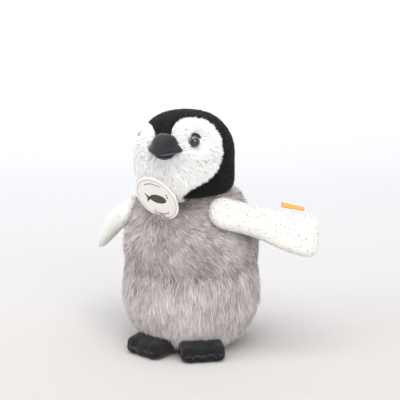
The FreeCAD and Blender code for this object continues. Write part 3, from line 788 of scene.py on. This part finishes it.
# ---------------------------------------------------------------- wings
# Each wing is a flat paddle of two short-pile white panels, sewn round the edge,
# turned and lightly filled, and sewn to the shoulder by its rounded root.
JOINTS = {joint["name"]: joint for joint in frame["joints"]}
WING_LENGTH, WING_BACK, WING_HALF = 74 * MM, 4.5 * MM, 4.2 * MM
SLANT = {"left": math.radians(19.5), "right": math.radians(25)}


def wing_frame(side):
    """The wing's root, its long direction, its upward direction and its outward face."""
    joint = JOINTS[f"{side}_wing_flap"]
    seam = Vector(joint["axis"]).normalized()
    seam *= math.copysign(1, seam.z)
    root = Vector(joint["pos_m"])
    from_ball = root - Vector((0, 0, SHOULDER))
    outward = (from_ball - seam * from_ball.dot(seam)).normalized()
    tangent = outward.cross(seam)
    tangent *= math.copysign(1, tangent.y)
    along = tangent * math.cos(SLANT[side]) - seam * math.sin(SLANT[side])
    up = seam * math.cos(SLANT[side]) + tangent * math.sin(SLANT[side])
    return root, along, up, outward


def eased(low, high, x):
    t = min(1, max(0, (x - low) / (high - low)))
    return t * t * (3 - 2 * t)


def wing_ring(side, u):
    """The paddle's section at a share u of its length: narrow at the root, its tip drooping."""
    root, along, up, outward = wing_frame(side)
    upper = (11 - 1.5 * math.sin(math.pi * u) + 2.5 * u ** 3) * MM
    lower = (10 + 7 * eased(0.3, 0.85, u)) * MM
    from_root, from_tip = u * WING_LENGTH, (1 - u) * WING_LENGTH
    root_round = math.sqrt(max(0.0004, 1 - (1 - min(1, from_root / (10 * MM))) ** 2))
    tip_round = math.sqrt(max(0.0004, 1 - (1 - min(1, from_tip / (7 * MM))) ** 2))
    round_off = root_round * (0.35 + 0.65 * tip_round)
    thin = min(1, from_root / (6 * MM)) ** 0.5 * min(1, from_tip / (9 * MM) + 0.03) ** 0.5
    ring = []
    count = 44
    for i in range(count):
        angle = 2 * math.pi * i / count
        c, s = math.cos(angle), math.sin(angle)
        across = c * (upper if c > 0 else lower) * round_off
        depth = s * WING_HALF * thin
        ring.append(root + along * (from_root - WING_BACK) + up * across + outward * depth)
    return ring


def stuffed(piece, pressure, limit, frames=20):
    """Blows closed cloth up as its filling does, moves no point past the limit, and keeps the result."""
    mesh = piece.data
    rest = np.empty(len(mesh.vertices) * 3, np.float32)
    mesh.vertices.foreach_get("co", rest)
    soft = piece.modifiers["soft"]
    soft.show_viewport = False
    cloth = piece.modifiers.new("filling", "CLOTH")
    cloth.settings.quality = 8
    cloth.settings.mass = 0.15
    cloth.settings.tension_stiffness = 20
    cloth.settings.compression_stiffness = 12
    cloth.settings.bending_stiffness = 0.4
    cloth.settings.use_pressure = True
    cloth.settings.uniform_pressure_force = pressure
    cloth.settings.effector_weights.gravity = 0
    cloth.collision_settings.use_collision = False
    cloth.point_cache.frame_start = 1
    cloth.point_cache.frame_end = frames
    for number in range(1, frames + 1):
        bpy.context.scene.frame_set(number)
    posed = piece.evaluated_get(bpy.context.evaluated_depsgraph_get()).to_mesh()
    moved = np.empty_like(rest)
    posed.vertices.foreach_get("co", moved)
    piece.evaluated_get(bpy.context.evaluated_depsgraph_get()).to_mesh_clear()
    piece.modifiers.remove(cloth)
    soft.show_viewport = True
    bpy.context.scene.frame_set(1)
    step = (moved - rest).reshape(-1, 3)
    far = np.linalg.norm(step, axis=1, keepdims=True)
    step *= np.minimum(1, limit / np.maximum(far, 1e-9))
    mesh.vertices.foreach_set("co", (rest.reshape(-1, 3) + step).ravel())
    mesh.update()


def applied(piece):
    """The mesh as its modifiers leave it; the object itself goes away."""
    mesh = bpy.data.meshes.new_from_object(piece.evaluated_get(bpy.context.evaluated_depsgraph_get()))
    bpy.data.objects.remove(piece)
    return mesh


def wing_comb(direction):
    return lambda roots, normals: np.repeat(np.array(direction)[None], len(roots), 0)


wing_fibre = fibre("white acrylic short pile", ["#f3f1ea", "#fbfaf5", "#fefdf9", "#ffffff"], sheen=0.4, glow=0.25)
WING_SHARES = [0, 0.008, 0.025, 0.05, 0.085, 0.13] + [0.18 + 0.06 * i for i in range(12)] + [0.9, 0.94, 0.97, 0.99, 1]
for side in ("left", "right"):
    root, along, up, outward = wing_frame(side)
    rings = [wing_ring(side, u) for u in WING_SHARES]
    paddle = lofted(f"{side}_wing", rings, white_backing, smooth=1)
    stuffed(paddle, 4.0, 1.5 * MM)
    paddle_mesh = applied(paddle)
    for word, face in (("front", 1), ("back", -1)):
        cloth = cut_panel(f"{side}_wing_{word}_cloth", paddle_mesh,
                          lambda f: (f.calc_center_median() - root).dot(outward) * face > 0, white_backing)
        grow(f"{side}_wing_{word}_pile", cloth, 56000, 2.2 * MM, 0.45 * MM, 0.42, wing_comb(along),
             plain_shade(0.6, 0.1, 0.05), wing_fibre, f"{side}_wing",
             steps=3, clump=0, stray=0.4, seed=51 if face > 0 else 52, softness=0.85)
        walled(cloth, 0.9 * MM)
        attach(cloth, f"{side}_wing")
        inner = [f"{side}_wing_stuffing"] if face < 0 else []
        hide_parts(f"{side}_wing_{word}_panel", *inner)


# ---------------------------------------------------------------- ribbon tab
# A short folded ribbon of bright orange woven polyester, caught in the wing's top seam.
def woven_ribbon(name, colour):
    """Plain weave with threads 0.35 mm apart, which glint a little along the ribbon."""
    material, tree = new_material(name)
    place = add_node(tree, "ShaderNodeTexCoord")
    weave = add_node(tree, "ShaderNodeTexWave", {"Vector": place.outputs["Object"]},
                     Scale=1 / (0.35 * MM) / 6.28, Distortion=0.6)
    tone = add_node(tree, "ShaderNodeMix", {"Factor": weave.outputs["Fac"]}, data_type="RGBA")
    tone.inputs[6].default_value = [c * 0.75 for c in linear(colour)[:3]] + [1]
    tone.inputs[7].default_value = linear(colour)
    shader = add_node(tree, "ShaderNodeBsdfPrincipled", {"Base Color": tone.outputs[2]}, Roughness=0.6)
    return finish_material(material, shader)


orange = woven_ribbon("orange woven ribbon", "#f3a94f")
nodes["wing_tab"].data.materials.clear()
nodes["wing_tab"].data.materials.append(orange)


# ---------------------------------------------------------------- feet
# Each foot is a soft black velour wedge: an upper gathered over the toes, a flat sole,
# and two threads drawn tight over the front edge that make three rounded toes.
FOOT_HALF, FOOT_START, FOOT_REACH = 14.3 * MM, 24 * MM, 47.3 * MM
INSTEP_HIGH, TOE_HIGH, TOE_ROUND = 15 * MM, 10 * MM, 3.2 * MM
STITCH_OFFSET, STITCH_PULL, FRONT_FILL = 5 * MM, 1.3 * MM, 1.1 * MM


def foot_ring(reach, inset, squash):
    """The foot's section at a reach: inset on the toes' rounding, squashed flat on their front."""
    share = (reach - FOOT_START) / (FOOT_REACH - FOOT_START)
    high = INSTEP_HIGH + (TOE_HIGH - INSTEP_HIGH) * share - inset
    half = FOOT_HALF * (0.9 + 0.1 * share) - inset
    low = 0.3 * inset
    ring = []
    count = 64
    for i in range(count):
        angle = 2 * math.pi * i / count
        c, s = math.cos(angle), math.sin(angle)
        x = math.copysign(abs(c) ** 0.4, c) * half
        rise = 0.5 + 0.5 * math.copysign(abs(s) ** 0.5, s) * (1 - squash)
        pinch = math.exp(-((abs(x) - STITCH_OFFSET) / (1.4 * MM)) ** 2) * eased(0.7, 1, share)
        bulge = 1.2 * MM * (1 - (x / half) ** 2) * eased(0.8, 1, share)
        z = low + (high - low) * rise * (1 - 0.16 * pinch * (1 - squash))
        ring.append((x, reach - STITCH_PULL * pinch + bulge + FRONT_FILL * squash, z))
    return ring


def foot_rings():
    flat = FOOT_REACH - TOE_ROUND
    rings = [foot_ring(FOOT_START + (flat - FOOT_START) * i / 9, 0, 0) for i in range(10)]
    for degrees in (25, 50, 72, 90):
        angle = math.radians(degrees)
        rings.append(foot_ring(flat + TOE_ROUND * math.sin(angle), TOE_ROUND * (1 - math.cos(angle)) * 0.7, 0))
    rings += [foot_ring(FOOT_REACH, TOE_ROUND * 0.7, squash) for squash in (0.35, 0.7, 0.95)]
    return rings


black_velour = velour("black foot velour", "#1f1f22", 0.3)
nap_fibre = fibre("black velour nap", ["#0d0d0f", "#18181b", "#26262a", "#38383e"], sheen=0.3)
for side in ("left", "right"):
    pos = JOINTS[f"{side}_foot_flex"]["pos_m"]
    forward = Vector((pos[0], pos[1], 0)).normalized()
    across = Vector((-forward.y, forward.x, 0))
    rings = [[across * x + forward * y + Vector((0, 0, z)) for x, y, z in ring] for ring in foot_rings()]
    foot_mesh = applied(lofted(f"{side}_foot", rings, black_velour, smooth=1))
    upper = cut_panel(f"{side}_foot_upper_velour", foot_mesh, lambda f: f.normal.z > -0.7, black_velour)
    sole = cut_panel(f"{side}_foot_sole_velour", foot_mesh, lambda f: f.normal.z <= -0.7, black_velour)
    grow(f"{side}_foot_nap", upper, 16000, 0.9 * MM, 0.2 * MM, 0.5, wing_comb(forward),
         plain_shade(0.4, 0.12, 0.05), nap_fibre, f"{side}_foot",
         steps=3, clump=0.2, clump_share=0.1, seed=61, softness=0.8)
    for cloth, replaced in ((upper, ("upper", "stuffing")), (sole, ("sole",))):
        walled(cloth)
        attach(cloth, f"{side}_foot")
        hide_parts(*(f"{side}_foot_{word}" for word in replaced))


# ---------------------------------------------------------------- tag
# A disc of coated cream board on a loop of thread, printed with a plain ring, two rules
# and a small fish in one dark ink.
def board(name, colour):
    """Coated board: a clean, slightly glossy white with a faint warm tone and paper tooth."""
    material, tree = new_material(name)
    place = add_node(tree, "ShaderNodeTexCoord")
    tooth = add_node(tree, "ShaderNodeTexNoise", {"Vector": place.outputs["Object"]}, Scale=1 / (0.5 * MM))
    bump = add_node(tree, "ShaderNodeBump", {"Height": tooth.outputs["Fac"]}, Strength=0.1, Distance=0.05 * MM)
    shader = add_node(tree, "ShaderNodeBsdfPrincipled", {"Normal": bump.outputs["Normal"]},
                      Base_Color=linear(colour), Roughness=0.42)
    return finish_material(material, shader)


cream_board = board("cream coated board", "#edeae4")
dark_ink = board("dark printing ink", "#3a3632")
nodes["tag_card"].data.materials.clear()
nodes["tag_card"].data.materials.append(cream_board)
TAG_HINGE = Vector(JOINTS["tag_swing"]["pos_m"])
TAG_SIDE = Vector(JOINTS["tag_swing"]["axis"]).normalized()
TAG_MIDDLE = sum((v.co for v in nodes["tag_card"].data.vertices), Vector()) / len(nodes["tag_card"].data.vertices)
TAG_ACROSS = (TAG_MIDDLE - TAG_HINGE).normalized()
TAG_FACE = TAG_SIDE.cross(TAG_ACROSS)


def ellipse(x, y, wide, high, turn=0.0, points=40):
    """A closed outline in the card's plane, in millimetres."""
    outline = []
    for i in range(points):
        angle = 2 * math.pi * i / points
        a, b = wide * math.cos(angle), high * math.sin(angle)
        outline.append((x + a * math.cos(turn) - b * math.sin(turn), y + a * math.sin(turn) + b * math.cos(turn)))
    return outline


def printed(name, shapes, rings=()):
    """Flat ink on the card's face: filled outlines, and ribbons between two outlines."""
    mesh = bpy.data.meshes.new(name)
    bm = bmesh.new()

    def on_card(x, y):
        place = TAG_HINGE + TAG_SIDE * (x * MM) + TAG_ACROSS * ((TAG_DROP + y) * MM) + TAG_FACE * (0.43 * MM)
        return bm.verts.new(place)

    for outline in shapes:
        bm.faces.new([on_card(x, y) for x, y in outline])
    for outer, inner in rings:
        first = [on_card(x, y) for x, y in outer]
        second = [on_card(x, y) for x, y in inner]
        for i in range(len(first)):
            bm.faces.new((first[i - 1], first[i], second[i], second[i - 1]))
    bmesh.ops.recalc_face_normals(bm, faces=bm.faces)
    if bm.faces[:][0].normal.dot(TAG_FACE) < 0:
        bmesh.ops.reverse_faces(bm, faces=bm.faces)
    bm.to_mesh(mesh)
    bm.free()
    piece = new_object(name, mesh, dark_ink)
    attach(piece, "chest_tag")


TAG_DROP = 13.05
fish_body = ellipse(1.0, 0, 6.6, 3.4)
fish_tail = [(-4.4, 0), (-9.0, 3.8), (-7.6, 0), (-9.0, -3.8)]
bubbles = [ellipse(9.3, 2.4 + i * 1.9, 0.7 - 0.12 * i, 0.7 - 0.12 * i, points=20) for i in range(2)]
dashes = []
for row in (1, -1):
    for i in range(-3, 4):
        bearing = i * 0.16
        x, y = 11.6 * math.sin(bearing), row * 11.6 * math.cos(bearing)
        dashes.append(ellipse(x, y, 0.8, 0.42, -row * bearing, points=12))
printed("tag_print", [fish_body, fish_tail] + bubbles + dashes,
        [(ellipse(0, 0, 14.6, 14.6, points=72), ellipse(0, 0, 14.4, 14.4, points=72))])


# ---------------------------------------------------------------- pieces inside
# The filling, the pellet pouch, the washers and the threads keep their own shapes
# and get plain materials of the right kind.
def plain(name, colour, roughness):
    material, tree = new_material(name)
    shader = add_node(tree, "ShaderNodeBsdfPrincipled", Base_Color=linear(colour), Roughness=roughness)
    return finish_material(material, shader)


INSIDE = {
    plain("white fibre filling", "#f2f2f0", 1.0): ["body_stuffing", "neck_stuffing", "head_stuffing"],
    plain("white pouch cloth", "#dedcd8", 0.9): ["pellet_pouch"],
    plain("clear plastic pellets", "#cfd6da", 0.3): ["pellets"],
    plain("black washer plastic", "#1c1c1e", 0.5): ["eye_washer_left", "eye_washer_right"],
    plain("grey sewing thread", "#8f8886", 0.8): ["neck_seam_thread"],
    plain("black sewing thread", "#141416", 0.8): ["left_toe_stitches", "right_toe_stitches"],
    plain("cream cotton thread", "#ece6da", 0.8): ["tag_thread"],
}
for material, names in INSIDE.items():
    for name in names:
        nodes[name].data.materials.clear()
        nodes[name].data.materials.append(material)
